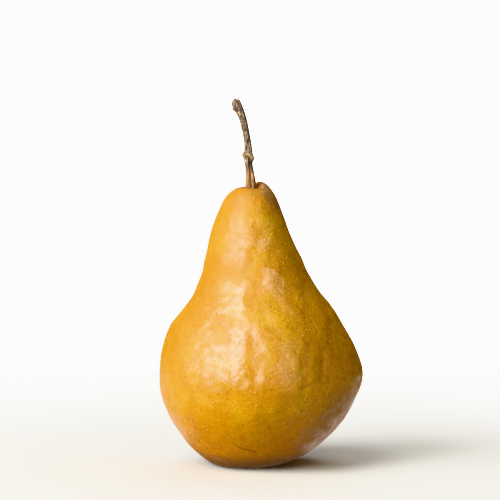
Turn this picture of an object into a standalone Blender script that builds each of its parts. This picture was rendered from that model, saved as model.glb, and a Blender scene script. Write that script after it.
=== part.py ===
"""A bosc pear standing on its base: the fruit, its woody stem and the dried calyx beneath.

Metres, +Z up, with the best side towards -Y. Sizes below are real sizes in millimetres,
and MM turns them into metres. The origin is on the surface that the pear stands on,
under the middle of the pear.
"""

import math

import bmesh
import bpy
from mathutils import Vector

MM = 0.001

# The fruit seen from the front: height, reach to the left and reach to the right
FLESH_OUTLINE = (
    (0.0, -15.4, 3.4),
    (1.3, -19.0, 9.3),
    (4.6, -23.4, 16.9),
    (9.5, -28.1, 23.6),
    (16.8, -33.0, 30.1),
    (24.5, -36.2, 34.4),
    (33.5, -37.0, 36.1),
    (42.0, -36.2, 34.1),
    (49.5, -33.9, 30.3),
    (57.0, -28.9, 25.2),
    (65.0, -23.7, 19.2),
    (74.0, -21.1, 14.9),
    (84.0, -18.4, 10.5),
    (92.3, -15.6, 7.3),
    (96.8, -13.3, 5.2),
    (99.3, -10.9, 3.0),
)
FRONT_TO_BACK = 0.97
ROUND_UP_TO_RADIUS = 4.0
FLATTENED_FROM_RADIUS = 20.0
NECK_LEAN = 2.6
NECK_LEAN_FROM = 40.0
NECK_LEAN_TO = 98.0

# The base: a flat ring to stand on, round a hollow with a lobed edge
BASE_CENTRE = -6.0
FLAT_INNER_RADIUS = 5.6
BASIN_OUTLINE = ((1.6, 3.3), (3.0, 3.0), (4.0, 2.2), (4.7, 1.2), (5.2, 0.4))
BASIN_DEPTH = 3.35
BASIN_LOBES = 5
BASIN_LOBE_REACH = 0.35
BASIN_ROUND_RADIUS = 2.0

# The top: a blunt lip round the stem, higher at the back right, and the hole for the stem's foot
TOP_CENTRE = -4.0
LIP_OUTLINE = ((4.5, 100.5), (3.4, 100.2), (2.6, 99.4))
SOCKET_RADIUS = 2.15
SOCKET_MOUTH = 98.4
SOCKET_FLOOR = 94.6
SHOULDER_RISE = 1.7
SHOULDER_AZIMUTH = math.radians(62)
SHOULDER_FROM = 90.0
SHOULDER_TO = 100.5

# Broad swells of the flesh: azimuth in degrees, height, half angle in degrees, half height, rise.
# They fade out towards the base and the stem.
SWELL_FULL_HEIGHT = 12.0
SWELL_FULL_RADIUS = 8.0
SWELLS = (
    (-4, 33.0, 24, 6.5, 0.9),
    (180, 59.0, 34, 4.5, -0.7),
    (-128, 40.0, 26, 17.0, 0.3),
    (24, 58.0, 30, 14.0, 0.6),
    (72, 33.0, 34, 18.0, -0.6),
    (128, 47.0, 30, 16.0, 0.9),
    (100, 82.0, 40, 12.0, -0.5),
)

# The stem's middle line from its foot to its tip: x, distance behind the neck's axis, height, radius
STEM_LINE = (
    (-4.0, 0.0, 95.0, 1.75),
    (-4.0, 0.0, 98.6, 1.80),
    (-3.9, 0.1, 101.5, 1.86),
    (-4.15, 0.3, 104.6, 1.55),
    (-4.55, 0.5, 107.3, 1.40),
    (-4.8, 0.6, 110.6, 1.45),
    (-4.65, 0.8, 113.2, 1.22),
    (-4.95, 1.0, 117.0, 1.16),
    (-5.65, 1.3, 121.2, 1.20),
    (-6.75, 1.7, 125.4, 1.27),
    (-8.35, 2.1, 128.7, 1.55),
    (-9.25, 2.3, 131.2, 1.40),
)
STEM_TIP = (-9.5, 2.35, 132.5)
KNOB_HEIGHT = 110.8
KNOB_HALF_HEIGHT = 1.1
KNOB_PROUD = 0.6
KNOB_TILT = 0.5

# The calyx: five dried sepals that spread and droop from a disc in the roof of the hollow
SEPALS = 5
SEPAL_REACH = 3.8
SEPAL_NOTCH = 1.5
SEPAL_POINT = 1.5
CALYX_ROOF = 3.0
CALYX_DROOP = 1.9
CALYX_THICKNESS = 0.6

# Mesh fineness
FRUIT_SEGMENTS = 48
FRUIT_STEPS = 2
STEM_SEGMENTS = 14
STEM_STEPS = 3
CALYX_SEGMENTS = 60
CALYX_STEPS = 5

SHARP_ANGLE = math.radians(50)

# Surfaces: linear colour and roughness
SKIN = ((0.72, 0.37, 0.03), 0.42)
STEM_BARK = ((0.13, 0.085, 0.045), 0.8)
DRIED_CALYX = ((0.07, 0.042, 0.022), 0.9)


def clear_scene():
    """Remove whatever objects the file starts with."""
    for thing in list(bpy.data.objects):
        bpy.data.objects.remove(thing)


def ease(value, start, end):
    """0 before start, 1 after end and an S-shaped rise between them."""
    share = min(max((value - start) / (end - start), 0.0), 1.0)
    return share * share * (3 - 2 * share)


def curve_through(points, steps):
    """A centripetal Catmull-Rom curve; the first and last points only steer its ends."""
    curve = []
    for before, start, end, after in zip(points, points[1:], points[2:], points[3:]):
        knot_1 = (start - before).length ** 0.5
        knot_2 = knot_1 + (end - start).length ** 0.5
        knot_3 = knot_2 + (after - end).length ** 0.5
        for step in range(steps):
            knot = knot_1 + (knot_2 - knot_1) * step / steps
            first = before.lerp(start, knot / knot_1)
            middle = start.lerp(end, (knot - knot_1) / (knot_2 - knot_1))
            last = end.lerp(after, (knot - knot_2) / (knot_3 - knot_2))
            lower = first.lerp(middle, knot / knot_2)
            upper = middle.lerp(last, (knot - knot_1) / (knot_3 - knot_1))
            curve.append(lower.lerp(upper, (knot - knot_1) / (knot_2 - knot_1)))
    curve.append(points[-2])
    return curve


def round_rings(centre, outline):
    """Rings of a round part of the fruit, from its radii and heights."""
    return [Vector((centre - radius, centre + radius, height)) for radius, height in outline]


def flesh_rings():
    """The fruit's rings as left reach, right reach and height, from the basin to the socket."""
    basin = round_rings(BASE_CENTRE, BASIN_OUTLINE)
    flat_inner = round_rings(BASE_CENTRE, [(FLAT_INNER_RADIUS, 0.0)])
    outline = [Vector((left, right, height)) for height, left, right in FLESH_OUTLINE]
    lip = round_rings(TOP_CENTRE, LIP_OUTLINE)
    socket = round_rings(TOP_CENTRE, [(SOCKET_RADIUS, SOCKET_MOUTH), (SOCKET_RADIUS, SOCKET_FLOOR)])
    outside = curve_through(flat_inner + outline + lip + socket, FRUIT_STEPS)
    return basin + flat_inner + outside + socket[1:]


def swell(azimuth, height, radius):
    """How far the broad swells push the skin out at a place."""
    push = 0.0
    for swell_azimuth, swell_height, half_angle, half_height, rise in SWELLS:
        turn = math.remainder(azimuth - math.radians(swell_azimuth), math.tau)
        across = turn / math.radians(half_angle)
        along = (height - swell_height) / half_height
        push += rise * math.exp(-across * across - along * along)
    return push * ease(height, 0.0, SWELL_FULL_HEIGHT) * ease(radius, SOCKET_RADIUS, SWELL_FULL_RADIUS)


def basin_lobe(azimuth, radius):
    """How far the lobes push the wall of the hollow under the fruit outwards."""
    reach = BASIN_LOBE_REACH * ease(radius, BASIN_ROUND_RADIUS, FLAT_INNER_RADIUS)
    return reach * math.cos(BASIN_LOBES * azimuth)


def shoulder_rise(azimuth, height, radius):
    """How much higher the lip is than a level one, most at the back right."""
    facing = 0.5 + 0.5 * math.cos(azimuth - SHOULDER_AZIMUTH)
    lip_radius = LIP_OUTLINE[0][0]
    at_lip = ease(height, SHOULDER_FROM, SHOULDER_TO) * ease(radius, SOCKET_RADIUS, lip_radius)
    return SHOULDER_RISE * facing * facing * at_lip


def front_to_back(radius):
    """The fruit is a little flatter than wide, but its hollow and its socket are round."""
    return 1 - (1 - FRONT_TO_BACK) * ease(radius, ROUND_UP_TO_RADIUS, FLATTENED_FROM_RADIUS)


def neck_lean(height):
    """How far back the fruit's axis has leant at a height."""
    return NECK_LEAN * ease(height, NECK_LEAN_FROM, NECK_LEAN_TO)


def flesh_point(ring, azimuth):
    """The point of the skin on one ring at an azimuth from +X towards +Y."""
    left, right, height = ring
    radius = (right - left) / 2
    if height < BASIN_DEPTH and radius <= FLAT_INNER_RADIUS:
        push = basin_lobe(azimuth, radius)
    else:
        push = swell(azimuth, height, radius)
    x = (left + right) / 2 + (radius + push) * math.cos(azimuth)
    y = neck_lean(height) + (radius * front_to_back(radius) + push) * math.sin(azimuth)
    return Vector((x, y, height + shoulder_rise(azimuth, height, radius))) * MM


def azimuths(count):
    """Evenly spaced azimuths all round."""
    return [math.tau * step / count for step in range(count)]


def loft(name, rings, surface):
    """One closed body from rings of points in order; a ring of one point is a pole."""
    shell = bmesh.new()
    loops = [[shell.verts.new(point) for point in ring] for ring in rings]
    for lower, upper in zip(loops, loops[1:]):
        for index in range(max(len(lower), len(upper))):
            corners = [lower[index % len(lower)], lower[(index + 1) % len(lower)],
                       upper[(index + 1) % len(upper)], upper[index % len(upper)]]
            shell.faces.new(dict.fromkeys(corners))
    mesh = bpy.data.meshes.new(name)
    shell.to_mesh(mesh)
    shell.free()
    mesh.shade_smooth()
    mesh.set_sharp_from_angle(angle=SHARP_ANGLE)
    mesh.materials.append(plain_material(name, *surface))
    body = bpy.data.objects.new(name, mesh)
    bpy.context.scene.collection.objects.link(body)
    return body


def plain_material(name, colour, roughness):
    """A plain non-metal surface."""
    material = bpy.data.materials.new(name)
    material.use_nodes = True
    shader = material.node_tree.nodes["Principled BSDF"]
    shader.inputs["Base Color"].default_value = (*colour, 1)
    shader.inputs["Roughness"].default_value = roughness
    shader.inputs["Metallic"].default_value = 0
    return material


def make_fruit():
    """The flesh and skin in one piece, from the basin's roof round to the socket's floor."""
    rings = [[flesh_point(ring, azimuth) for azimuth in azimuths(FRUIT_SEGMENTS)] for ring in flesh_rings()]
    basin_pole = Vector((BASE_CENTRE, 0.0, BASIN_DEPTH)) * MM
    socket_pole = Vector((TOP_CENTRE, NECK_LEAN, SOCKET_FLOOR)) * MM
    return loft("fruit", [[basin_pole], *rings, [socket_pole]], SKIN)


def stem_radius(height, radius, azimuth):
    """The stem's radius with the knob, which sits lower on the right than on the left."""
    knob_middle = KNOB_HEIGHT - KNOB_TILT * math.cos(azimuth)
    along = (height - knob_middle) / KNOB_HALF_HEIGHT
    return radius + KNOB_PROUD * math.exp(-along * along)


def make_stem():
    """The woody stem: round rings across its middle line, closed at the foot and the tip."""
    points = [Vector(point) for point in STEM_LINE]
    before = 2 * points[0] - points[1]
    after = 2 * points[-1] - points[-2]
    line = curve_through([before, *points, after], STEM_STEPS)
    rings = []
    for index, (x, behind, height, radius) in enumerate(line):
        ahead = line[min(index + 1, len(line) - 1)] - line[max(index - 1, 0)]
        turn = Vector((0, 0, 1)).rotation_difference(ahead.xyz)
        ring = []
        for azimuth in azimuths(STEM_SEGMENTS):
            reach = stem_radius(height, radius, azimuth)
            across = Vector((math.cos(azimuth), math.sin(azimuth), 0)) * reach
            ring.append((Vector((x, NECK_LEAN + behind, height)) + turn @ across) * MM)
        rings.append(ring)
    foot_x, foot_behind, foot_height, _ = STEM_LINE[0]
    tip_x, tip_behind, tip_height = STEM_TIP
    foot = Vector((foot_x, NECK_LEAN + foot_behind, foot_height)) * MM
    tip = Vector((tip_x, NECK_LEAN + tip_behind, tip_height)) * MM
    return loft("stem", [[foot], *rings, [tip]], STEM_BARK)


def sepal_reach(azimuth):
    """The calyx's edge: sepal tips with notches between them."""
    sector = math.tau / SEPALS
    from_tip = abs(math.remainder(azimuth, sector)) / (sector / 2)
    return SEPAL_NOTCH + (SEPAL_REACH - SEPAL_NOTCH) * (1 - from_tip) ** SEPAL_POINT


def make_calyx():
    """A drooping five-pointed star, built from the middle of its underside round to its top."""
    rings = []
    for thickness, steps in ((CALYX_THICKNESS, range(1, CALYX_STEPS + 1)), (0.0, range(CALYX_STEPS, 0, -1))):
        for step in steps:
            ring = []
            for azimuth in azimuths(CALYX_SEGMENTS):
                radius = sepal_reach(azimuth) * step / CALYX_STEPS
                height = CALYX_ROOF - CALYX_DROOP * (radius / SEPAL_REACH) ** 2 - thickness
                ring.append(Vector((BASE_CENTRE + radius * math.cos(azimuth),
                                    radius * math.sin(azimuth), height)) * MM)
            rings.append(ring)
    under = Vector((BASE_CENTRE, 0.0, CALYX_ROOF - CALYX_THICKNESS)) * MM
    roof = Vector((BASE_CENTRE, 0.0, CALYX_ROOF)) * MM
    return loft("calyx", [[under], *rings, [roof]], DRIED_CALYX)


def main():
    clear_scene()
    make_fruit()
    make_stem()
    make_calyx()


main()
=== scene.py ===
import math

import bpy
import numpy as np
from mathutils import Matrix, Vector, noise


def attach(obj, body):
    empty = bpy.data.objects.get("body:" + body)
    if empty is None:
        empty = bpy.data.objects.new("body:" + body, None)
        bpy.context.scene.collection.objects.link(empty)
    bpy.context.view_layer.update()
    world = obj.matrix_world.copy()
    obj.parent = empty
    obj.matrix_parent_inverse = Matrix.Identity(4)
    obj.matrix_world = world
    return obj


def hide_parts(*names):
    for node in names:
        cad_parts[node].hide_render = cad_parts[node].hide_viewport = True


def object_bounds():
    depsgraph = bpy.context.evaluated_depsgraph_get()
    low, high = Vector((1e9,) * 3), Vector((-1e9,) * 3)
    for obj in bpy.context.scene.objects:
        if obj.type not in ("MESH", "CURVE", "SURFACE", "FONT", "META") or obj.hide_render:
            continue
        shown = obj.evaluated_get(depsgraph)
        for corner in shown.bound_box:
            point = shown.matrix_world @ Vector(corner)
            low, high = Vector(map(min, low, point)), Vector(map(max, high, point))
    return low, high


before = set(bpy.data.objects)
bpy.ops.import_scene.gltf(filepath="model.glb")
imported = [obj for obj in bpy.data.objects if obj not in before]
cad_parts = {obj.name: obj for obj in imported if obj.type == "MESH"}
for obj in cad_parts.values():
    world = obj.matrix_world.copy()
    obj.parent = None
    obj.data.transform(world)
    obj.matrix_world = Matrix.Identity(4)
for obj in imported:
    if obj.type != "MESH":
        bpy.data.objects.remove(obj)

# A bosc pear standing on its base: glossy golden skin with its pores, woody stem and dried calyx.
# Lengths are in millimetres until a mesh is made, and MM turns them into metres.
# Azimuths run from +X towards +Y, so the side that faces the camera is at -90 degrees.
cad_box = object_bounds()
MM = 0.001

# The fruit seen from the front, as in the solids: height, reach to the left and to the right
FLESH_OUTLINE = (
    (0.0, -15.4, 3.4),
    (1.3, -19.0, 9.3),
    (4.6, -23.4, 16.9),
    (9.5, -28.1, 23.6),
    (16.8, -33.0, 30.1),
    (24.5, -36.2, 34.4),
    (33.5, -37.0, 36.1),
    (42.0, -36.2, 34.1),
    (49.5, -33.9, 30.3),
    (57.0, -28.9, 25.2),
    (65.0, -23.7, 19.2),
    (74.0, -21.1, 14.9),
    (84.0, -18.4, 10.5),
    (92.3, -15.6, 7.3),
    (96.8, -13.3, 5.2),
    (99.3, -10.9, 3.0),
)
FRONT_TO_BACK = 0.97
ROUND_UP_TO_RADIUS = 4.0
FLATTENED_FROM_RADIUS = 20.0
NECK_LEAN = 2.6
NECK_LEAN_FROM = 40.0
NECK_LEAN_TO = 98.0

# The base and its hollow
BASE_CENTRE = -6.0
FLAT_INNER_RADIUS = 5.6
BASIN_OUTLINE = ((1.6, 3.3), (3.0, 3.0), (4.0, 2.2), (4.7, 1.2), (5.2, 0.4))
BASIN_DEPTH = 3.35
BASIN_MARGIN = 0.1
BASIN_ROOF_RADII = (0.1, 0.3)
BASIN_LOBES = 5
BASIN_LOBE_REACH = 0.35
BASIN_ROUND_RADIUS = 2.0

# The top, where the flesh closes on the stem: radius and height round the stem's foot
TOP_CENTRE = -4.0
LIP_OUTLINE = ((4.5, 100.3), (3.4, 99.9), (2.5, 99.5))
THROAT_OUTLINE = ((1.9, 99.3), (1.4, 98.4), (1.2, 97.4))
RIM_FROM = 90.0
RIM_TO = 100.5
RIM_INNER_RADIUS = 1.9
# Rises of the rim: azimuth in degrees, rise and how narrow it is
RIM_RISES = ((38, 2.0, 5), (-60, -0.4, 3))

# Broad swells of the flesh, all but the last as in the solids: azimuth in degrees, height, half angle
# in degrees, half height and rise. They fade out towards the base and the stem.
SWELL_FULL_HEIGHT = 12.0
SWELL_NO_RADIUS = 2.15
SWELL_FULL_RADIUS = 8.0
SWELLS = (
    (-4, 33.0, 24, 6.5, 0.9),
    (180, 59.0, 34, 4.5, -0.7),
    (-128, 40.0, 26, 17.0, 0.3),
    (24, 58.0, 30, 14.0, 0.6),
    (72, 33.0, 34, 18.0, -0.6),
    (128, 47.0, 30, 16.0, 0.9),
    (100, 82.0, 40, 12.0, -0.5),
    (-52, 40.0, 20, 16.0, -1.2),
)

# Low relief of the front: x, height, half width, half height, sideways lean and rise
FRONT_RELIEF = (
    (-1.9, 48.2, 2.0, 4.5, -0.48, -0.42),
    (-2.0, 37.5, 1.9, 4.2, 0.08, -0.34),
    (-13.4, 45.5, 2.4, 3.6, 0.1, -0.36),
    (-9.5, 41.0, 3.8, 5.0, 0.0, 0.16),
    (15.2, 39.8, 1.7, 8.0, 0.0, -0.24),
    (17.9, 39.7, 2.0, 8.0, 0.0, 0.20),
    (22.9, 39.3, 1.6, 8.5, 0.0, -0.52),
    (-6.1, 37.4, 0.6, 0.6, 0.0, 0.30),
    (-8.9, 83.3, 0.8, 0.8, 0.0, -0.14),
    (-7.5, 82.3, 0.7, 0.7, 0.0, -0.12),
    (0.9, 80.8, 2.2, 2.6, 0.0, 0.14),
    (3.0, 68.3, 2.6, 4.5, 0.0, 0.18),
)
# Low relief of the other sides: azimuth in degrees, height, half width, half height and rise
ROUND_RELIEF = (
    (20, 44.0, 2.0, 9.0, -0.24),
    (38, 40.0, 2.2, 10.0, -0.20),
    (84, 46.0, 2.4, 9.0, -0.26),
    (140, 38.0, 2.0, 10.0, -0.22),
    (168, 43.0, 2.2, 8.0, -0.20),
)
# The groove round the waist: height, half height and rise
WAIST_GROOVE = (70.5, 2.8, -0.34)
# Unevenness of the skin as sizes with their heights, and how far it is drawn in to stay in the solids' box
LUMPS = ((15.0, 0.28), (6.5, 0.26), (3.2, 0.07))
SKIN_INSET = 0.24

# Creases low on the front, each a line of x and height
CREASES = (
    ((-10.5, 12.1), (-8.5, 10.4), (-6.5, 9.3), (-3.7, 8.7), (-2.0, 7.9)),
    ((-13.7, 13.3), (-12.4, 13.2), (-11.0, 12.6)),
    ((-21.1, 11.7), (-20.2, 10.6), (-19.2, 10.0)),
)
CREASE_DEPTHS = (0.22, 0.10, 0.12)
CREASE_HALF_WIDTH = 0.7

# Mesh fineness of the skin
SKIN_SEGMENTS = 400
SKIN_ROWS = 238
CURVE_STEPS = 24
UV_MARGIN = 0.01

# Pores: how many, how far apart at least, between which heights, and their sizes, most of them small.
# Below the first height of the rise only the low share of them is kept, and above the second all.
PORE_SEED = 7
PORE_COUNT = 3000
PORE_SPACING = 1.15
PORE_HEIGHTS = (4, 100)
PORE_LOW_SHARE = 0.35
PORE_DENSITY_RISE = (30, 65)
PORE_RADII = (0.15, 0.30)
PORE_SIZE_POWER = 2.2
# A pore's dome: its height by its radius, its sides, and its rings as shares of radius and height
PORE_RISE = 0.2
PORE_SIDES = 6
PORE_RINGS = ((1.0, -0.1), (0.65, 0.7))
# A pore's first corner is square to this direction, which no pore faces exactly
PORE_TURN = (0.31, 0.17, 0.94)

# The stem, a little fuller than in the solids: x, distance behind the neck's axis, height, radius
STEM_LINE = (
    (-4.0, 0.0, 95.0, 1.75),
    (-4.0, 0.0, 98.6, 1.80),
    (-3.9, 0.1, 101.5, 1.86),
    (-4.15, 0.3, 104.6, 1.55),
    (-4.55, 0.5, 107.3, 1.40),
    (-4.8, 0.6, 110.6, 1.45),
    (-4.75, 0.8, 113.2, 1.36),
    (-5.15, 1.0, 117.0, 1.23),
    (-5.9, 1.3, 121.2, 1.20),
    (-7.0, 1.7, 125.4, 1.36),
    (-8.5, 2.1, 128.7, 1.70),
    (-9.5, 2.3, 131.2, 1.50),
)
STEM_TIP = (-9.8, 2.35, 132.2)
STEM_MIDDLE_Y = 3.2
STEM_SEGMENTS = 96
STEM_ROWS = 170
TOP_GAP = 0.1
# Ridges along the bark: how many and how high, with the sway of the broad ones in radians over a height,
# and the twist of the fine ones in radians a millimetre
BROAD_RIDGES = (7, 0.07)
BROAD_RIDGE_SWAY = (1.6, 3.1)
FINE_RIDGES = (13, 0.045)
FINE_RIDGE_TWIST = 0.5
# Roughness of the bark as sizes with their heights, drawn out along the stem
BARK_LUMPS = ((0.9, 0.12), (0.45, 0.06))
BARK_LUMP_SQUEEZE = (1, 1, 0.35)
# Lumps and hollows of the stem: azimuth in degrees, height, half width, half height, rise
STEM_RELIEF = (
    (188, 111.8, 1.0, 1.2, 0.90),
    (-14, 110.6, 1.0, 1.0, 0.68),
    (80, 111.2, 1.8, 1.1, 0.42),
    (-88, 111.2, 0.5, 1.0, -0.25),
    (-42, 113.0, 0.8, 0.45, 0.34),
    (-112, 112.6, 0.7, 0.5, 0.20),
    (-140, 110.0, 0.5, 1.1, 0.26),
    (-112, 108.3, 0.5, 1.1, 0.26),
    (-84, 106.8, 0.5, 1.1, 0.22),
    (-50, 108.0, 0.6, 2.0, -0.22),
    (-76, 102.8, 0.36, 4.2, -0.34),
    (-118, 102.4, 0.6, 5.0, 0.20),
    (-42, 103.2, 0.5, 4.5, 0.18),
    (178, 99.6, 1.0, 1.2, 0.28),
    (182, 129.0, 0.42, 0.42, 0.60),
    (176, 127.4, 0.5, 0.8, -0.15),
    (-60, 130.4, 0.5, 1.2, -0.22),
    (60, 125.0, 0.4, 3.0, -0.22),
)

# The calyx in the hollow underneath, and its sepals from their start out to their tips
CALYX_ROOF = 3.0
SEPALS = 5
SEPAL_START = 0.9
SEPAL_REACH = 4.1
SEPAL_THICKNESS = 0.22
# A sepal's half width, with the power of its taper and its shares at the start and added by the tip
SEPAL_HALF_WIDTH = 1.15
SEPAL_TAPER = 0.7
SEPAL_FULLNESS = (0.75, 0.6)
# A sepal's start below the roof, its further drop by the tip and the power of that, and how its sides
# curl and its surface waves, by radians along and across it
SEPAL_BELOW_ROOF = 0.5
SEPAL_DROP = 1.5
SEPAL_DROOP = 1.6
SEPAL_CURL = 0.27
SEPAL_WAVE = 0.072
SEPAL_WAVES = (9, 4)
SEPAL_ROWS = 12
SEPAL_COLUMNS = 8
# Its stamens: the least and the further reach and length, and a stalk as shares of length with radii
CALYX_SEED = 3
STAMENS = 17
STAMEN_UNEVENNESS = 0.6
STAMEN_REACH = (1.0, 0.35)
STAMEN_LENGTH = (0.9, 0.5)
STAMEN_SPREAD = 0.35
STAMEN_ABOVE_ROOF = 0.2
STAMEN_SIDES = 6
STAMEN_PROFILE = ((0.0, 0.10), (0.35, 0.08), (0.7, 0.07), (0.85, 0.15), (1.0, 0.12))

# Camera: the photo's side, a little above the middle of the pear
CAMERA_DISTANCE = 0.9
CAMERA_ELEVATION = math.radians(5)
CAMERA_LENS = 180
CAMERA_SENSOR = 36
CAMERA_CLIP = 0.01
AIM_LEFT = 4.2
AIM_UP = 11.5


# Shapes

def ease(value, start, end):
    """0 before start, 1 after end and an S-shaped rise between them."""
    share = np.clip((value - start) / (end - start), 0, 1)
    return share * share * (3 - 2 * share)


def curve_through(points, steps):
    """A centripetal Catmull-Rom curve; the first and last points only steer its ends."""
    points = np.asarray(points, float)
    curve = []
    for before, start, end, after in zip(points, points[1:], points[2:], points[3:]):
        knot_1 = np.linalg.norm(start - before) ** 0.5
        knot_2 = knot_1 + np.linalg.norm(end - start) ** 0.5
        knot_3 = knot_2 + np.linalg.norm(after - end) ** 0.5
        for step in range(steps):
            knot = knot_1 + (knot_2 - knot_1) * step / steps
            first = before + (start - before) * knot / knot_1
            middle = start + (end - start) * (knot - knot_1) / (knot_2 - knot_1)
            last = end + (after - end) * (knot - knot_2) / (knot_3 - knot_2)
            lower = first + (middle - first) * knot / knot_2
            upper = middle + (last - middle) * (knot - knot_1) / (knot_3 - knot_1)
            curve.append(lower + (upper - lower) * (knot - knot_1) / (knot_2 - knot_1))
    curve.append(points[-2])
    return np.array(curve)


def evenly(curve, count):
    """The curve again, with points an even way apart."""
    way = np.concatenate(([0.0], np.cumsum(np.linalg.norm(np.diff(curve, axis=0), axis=1))))
    places = np.linspace(0, way[-1], count)
    return np.stack([np.interp(places, way, column) for column in curve.T], axis=1)


def round_rings(centre, outline):
    """Rings of a round part of the fruit as left reach, right reach and height."""
    return [(centre - radius, centre + radius, height) for radius, height in outline]


def flesh_rings():
    """The fruit's rings from the roof of the hollow under it round to the throat of the stem."""
    roof = round_rings(BASE_CENTRE, [(radius, BASIN_DEPTH) for radius in BASIN_ROOF_RADII])
    basin = round_rings(BASE_CENTRE, BASIN_OUTLINE)
    flat_inner = round_rings(BASE_CENTRE, [(FLAT_INNER_RADIUS, 0.0)])
    outline = [(left, right, height) for height, left, right in FLESH_OUTLINE]
    lip = round_rings(TOP_CENTRE, LIP_OUTLINE)
    throat = round_rings(TOP_CENTRE, THROAT_OUTLINE)
    line = curve_through(roof + basin + flat_inner + outline + lip + throat, CURVE_STEPS)
    rings = evenly(line, SKIN_ROWS)
    rings[:, 2] = np.maximum(rings[:, 2], 0)
    return rings


def bump_at(across, along, rise):
    """A round-topped rise by its distances in half widths."""
    return rise * np.exp(-across * across - along * along)


def turn_from(azimuth, degrees):
    """The turn from a direction in degrees to each azimuth, at most half a turn either way."""
    return (azimuth - math.radians(degrees) + math.pi) % math.tau - math.pi


def swell(azimuth, height, radius):
    """How far the broad swells push the skin out at a place."""
    push = 0.0
    for place, level, half_angle, half_height, rise in SWELLS:
        across = turn_from(azimuth, place) / math.radians(half_angle)
        push = push + bump_at(across, (height - level) / half_height, rise)
    return push * ease(radius, SWELL_NO_RADIUS, SWELL_FULL_RADIUS)


def round_relief(azimuth, height, radius, relief):
    """The rise of lumps and hollows placed by azimuth and height."""
    push = 0.0
    for place, level, half_width, half_height, rise in relief:
        across = turn_from(azimuth, place) * radius / half_width
        push = push + bump_at(across, (height - level) / half_height, rise)
    return push


def low_relief(azimuth, height, radius, x):
    """Flutes, hollows, ridges and the groove round the waist, as a rise of the skin."""
    groove_height, groove_half, groove_rise = WAIST_GROOVE
    push = bump_at(0.0, (height - groove_height) / groove_half, groove_rise)
    push = push + round_relief(azimuth, height, radius, ROUND_RELIEF)
    in_front = np.sin(azimuth) < 0
    for place, level, half_width, half_height, lean, rise in FRONT_RELIEF:
        across = (x - place - lean * (height - level)) / half_width
        push = push + in_front * bump_at(across, (height - level) / half_height, rise)
    return push


def line_distance(x, height, line):
    """The distance in the front view from each place to a line of points."""
    nearest = np.full(np.broadcast(x, height).shape, np.inf)
    for (x_1, height_1), (x_2, height_2) in zip(line, line[1:]):
        run, climb = x_2 - x_1, height_2 - height_1
        share = ((x - x_1) * run + (height - height_1) * climb) / (run * run + climb * climb)
        share = np.clip(share, 0, 1)
        nearest = np.minimum(nearest, np.hypot(x - x_1 - share * run, height - height_1 - share * climb))
    return nearest


def creases(azimuth, height, x):
    """The fine folds low on the front, as a fall of the skin."""
    push = 0.0
    for line, depth in zip(CREASES, CREASE_DEPTHS):
        push = push - bump_at(line_distance(x, height, line) / CREASE_HALF_WIDTH, 0.0, depth)
    return push * (np.sin(azimuth) < 0)


def flesh_points(rings, azimuths):
    """Points of the skin without its lumps, one row for each ring."""
    left, right, height = (column[:, None] for column in rings.T)
    azimuth = azimuths[None, :]
    radius = (right - left) / 2
    in_basin = (height < BASIN_DEPTH + BASIN_MARGIN) & (radius <= FLAT_INNER_RADIUS)
    lobed = ease(radius, BASIN_ROUND_RADIUS, FLAT_INNER_RADIUS)
    lobe = BASIN_LOBE_REACH * lobed * np.cos(BASIN_LOBES * azimuth)
    free = ease(height, 0.0, SWELL_FULL_HEIGHT)
    x = (left + right) / 2 + radius * np.cos(azimuth)
    relief = swell(azimuth, height, radius) + low_relief(azimuth, height, radius, x)
    push = np.where(in_basin, lobe, relief * free + creases(azimuth, height, x))
    at_rim = ease(height, RIM_FROM, RIM_TO) * ease(radius, RIM_INNER_RADIUS, LIP_OUTLINE[0][0])
    rim = 0.0
    for place, rise, power in RIM_RISES:
        rim = rim + rise * (0.5 + 0.5 * np.cos(azimuth - math.radians(place))) ** power
    depth = 1 - (1 - FRONT_TO_BACK) * ease(radius, ROUND_UP_TO_RADIUS, FLATTENED_FROM_RADIUS)
    x = x + push * np.cos(azimuth)
    y = NECK_LEAN * ease(height, NECK_LEAN_FROM, NECK_LEAN_TO) + (radius * depth + push) * np.sin(azimuth)
    return np.stack(np.broadcast_arrays(x, y, height + rim * at_rim), axis=-1)


def grid_normals(points):
    """Unit normals of a grid that closes on itself along its second axis."""
    along = np.gradient(points, axis=0)
    around = np.roll(points, -1, axis=1) - np.roll(points, 1, axis=1)
    normals = np.cross(around, along)
    return normals / np.maximum(np.linalg.norm(normals, axis=-1, keepdims=True), 1e-9)


def lumps(points, scales):
    """Smooth unevenness, as a sum of noise at sizes with their heights."""
    flat = points.reshape(-1, 3)
    rise = np.zeros(len(flat))
    for size, height in scales:
        rise += height * np.array([noise.noise(Vector(point / size)) for point in flat])
    return rise.reshape(points.shape[:2])


def skin_grid():
    """The skin's points with all its relief, one row for each ring."""
    azimuths = np.arange(SKIN_SEGMENTS) * math.tau / SKIN_SEGMENTS + math.pi / 2
    rings = flesh_rings()
    points = flesh_points(rings, azimuths)
    radius = (rings[:, 1] - rings[:, 0])[:, None] / 2
    height = rings[:, 2][:, None]
    free = ease(height, 0.0, SWELL_FULL_HEIGHT) * ease(radius, RIM_INNER_RADIUS, SWELL_FULL_RADIUS)
    rise = (lumps(points, LUMPS) - SKIN_INSET) * free
    return points + grid_normals(points) * rise[..., None]


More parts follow.
